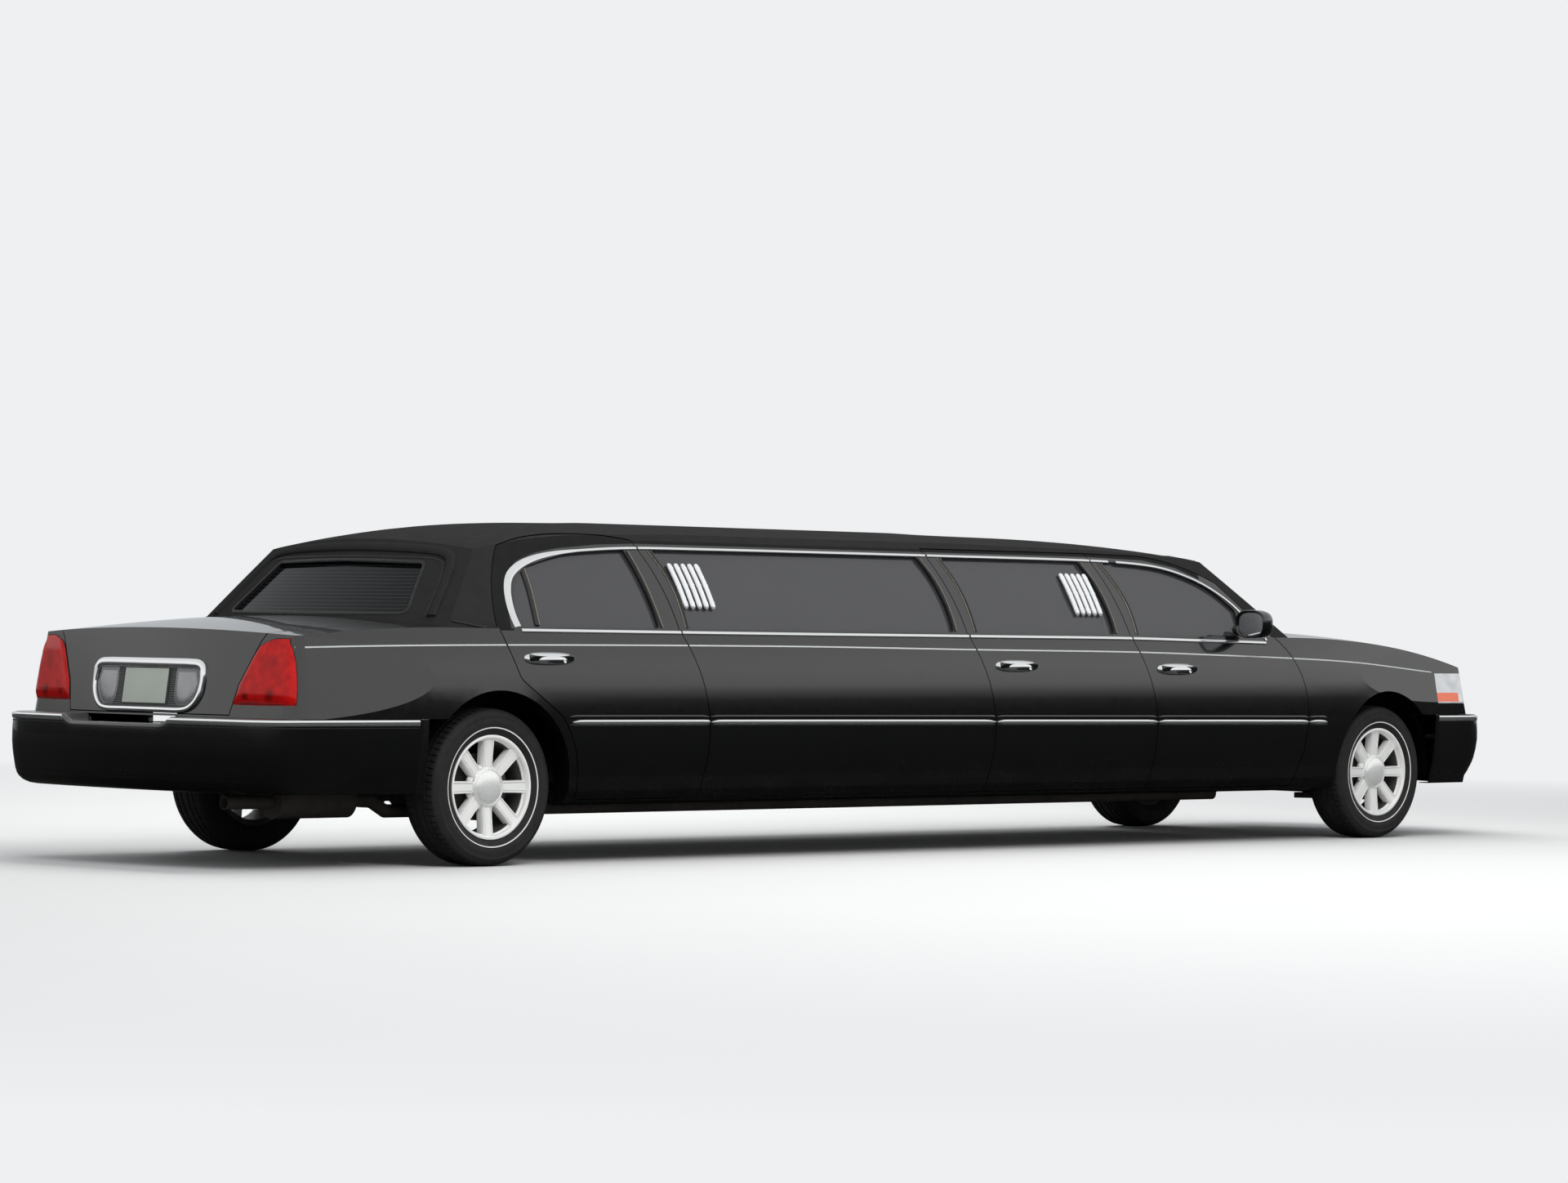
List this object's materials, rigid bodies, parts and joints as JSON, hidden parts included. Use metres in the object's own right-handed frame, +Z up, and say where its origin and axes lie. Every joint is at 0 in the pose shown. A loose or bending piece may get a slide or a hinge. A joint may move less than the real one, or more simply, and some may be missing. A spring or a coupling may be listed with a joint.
{
  "type": "stretch limousine",
  "caption": "Long black stretch limousine with opening doors, hood and boot lid, steered front wheels and free-rolling wheels on a ladder frame.",
  "frame": {"origin": "on the ground, half way along and half way across the car", "axes": "+X forward to the nose, +Y to the left side, +Z up"},
  "size_m": [8.773, 2.27, 1.558],
  "materials": {
    "paint": "gloss black body paint",
    "vinyl": "padded matte black vinyl roof covering",
    "bumper": "gloss black painted bumper covers",
    "tinted_glass": "dark tinted glass",
    "red_lens": "red lamp lens",
    "clear_lens": "clear lamp lens",
    "chrome": "bright chrome",
    "alloy": "silver painted alloy wheel",
    "tyre": "black tyre rubber",
    "frame": "black chassis paint",
    "iron": "dark cast iron",
    "steel": "dull steel",
    "leather": "dark leather",
    "trim": "dark interior trim"
  },
  "bodies": {
    "body": {"body_tub": "paint", "rear_body": "paint", "front_fenders": "paint", "side_panels": "paint", "side_glass": "tinted_glass", "roof": "vinyl", "windscreen": "tinted_glass", "rear_window": "tinted_glass", "tail_lamps": "red_lens", "headlamps": "clear_lens", "front_bumper": "bumper", "rear_bumper": "bumper", "grille": "chrome", "chassis_rails": "frame", "cross_members": "frame", "rear_axle": "iron", "front_suspension": "iron", "engine": "iron", "driveshaft": "steel", "exhaust": "steel", "fuel_tank": "frame", "front_seats": "leather", "cabin_seats": "leather", "partition": "trim", "dashboard": "trim"},
    "boot_lid": {"trunk_lid": "paint", "plate_surround": "chrome"},
    "hood": {"hood": "paint"},
    "knuckle_left": {"knuckle_left": "iron"},
    "knuckle_right": {"knuckle_right": "iron"},
    "front_door_right": {"front_door_right": "paint", "front_door_glass_right": "tinted_glass", "mirror_right": "paint"},
    "front_door_left": {"front_door_left": "paint", "front_door_glass_left": "tinted_glass", "mirror_left": "paint"},
    "mid_door_right": {"mid_door_right": "paint", "mid_door_glass_right": "tinted_glass"},
    "rear_door_right": {"rear_door_right": "paint", "rear_door_glass_right": "tinted_glass"},
    "rear_door_left": {"rear_door_left": "paint", "rear_door_glass_left": "tinted_glass"},
    "front_right_wheel": {"wheel_front_right": "alloy", "tyre_front_right": "tyre"},
    "front_left_wheel": {"wheel_front_left": "alloy", "tyre_front_left": "tyre"},
    "rear_right_wheel": {"wheel_rear_right": "alloy", "tyre_rear_right": "tyre"},
    "rear_left_wheel": {"wheel_rear_left": "alloy", "tyre_rear_left": "tyre"}
  },
  "joints": [
    {"name": "boot_lid_hinge", "type": "hinge", "parent": "body", "child": "boot_lid", "pos_m": [-3.55, 0, 1.046], "axis": [0, 1, 0], "range_deg": [0, 60]},
    {"name": "hood_hinge", "type": "hinge", "parent": "body", "child": "hood", "pos_m": [2.9, 0, 1.046], "axis": [0, -1, 0], "range_deg": [0, 50]},
    {"name": "front_door_right_hinge", "type": "hinge", "parent": "body", "child": "front_door_right", "pos_m": [2.507, -0.967, 0.65], "axis": [0, 0, 1], "range_deg": [0, 65]},
    {"name": "front_door_left_hinge", "type": "hinge", "parent": "body", "child": "front_door_left", "pos_m": [2.507, 0.967, 0.65], "axis": [0, 0, -1], "range_deg": [0, 65]},
    {"name": "mid_door_right_hinge", "type": "hinge", "parent": "body", "child": "mid_door_right", "pos_m": [1.309, -0.967, 0.65], "axis": [0, 0, 1], "range_deg": [0, 65]},
    {"name": "rear_door_right_hinge", "type": "hinge", "parent": "body", "child": "rear_door_right", "pos_m": [-1.819, -0.967, 0.65], "axis": [0, 0, 1], "range_deg": [0, 65]},
    {"name": "rear_door_left_hinge", "type": "hinge", "parent": "body", "child": "rear_door_left", "pos_m": [-1.819, 0.967, 0.65], "axis": [0, 0, -1], "range_deg": [0, 65]},
    {"name": "steering_left", "type": "hinge", "parent": "body", "child": "knuckle_left", "pos_m": [3.3005, 0.735, 0.351], "axis": [0, 0, 1], "range_deg": [-32, 32]},
    {"name": "steering_right", "type": "hinge", "parent": "body", "child": "knuckle_right", "pos_m": [3.3005, -0.735, 0.351], "axis": [0, 0, 1], "range_deg": [-32, 32]},
    {"name": "front_right_wheel_spin", "type": "hinge", "parent": "knuckle_right", "child": "front_right_wheel", "pos_m": [3.3005, -0.805, 0.351], "axis": [0, 1, 0], "continuous": true},
    {"name": "front_left_wheel_spin", "type": "hinge", "parent": "knuckle_left", "child": "front_left_wheel", "pos_m": [3.3005, 0.805, 0.351], "axis": [0, 1, 0], "continuous": true},
    {"name": "rear_right_wheel_spin", "type": "hinge", "parent": "body", "child": "rear_right_wheel", "pos_m": [-2.9915, -0.832, 0.351], "axis": [0, 1, 0], "continuous": true},
    {"name": "rear_left_wheel_spin", "type": "hinge", "parent": "body", "child": "rear_left_wheel", "pos_m": [-2.9915, 0.832, 0.351], "axis": [0, 1, 0], "continuous": true}
  ],
  "couplings": [
    {"joint": "steering_right", "follows": "steering_left", "ratio": 1}
  ]
}
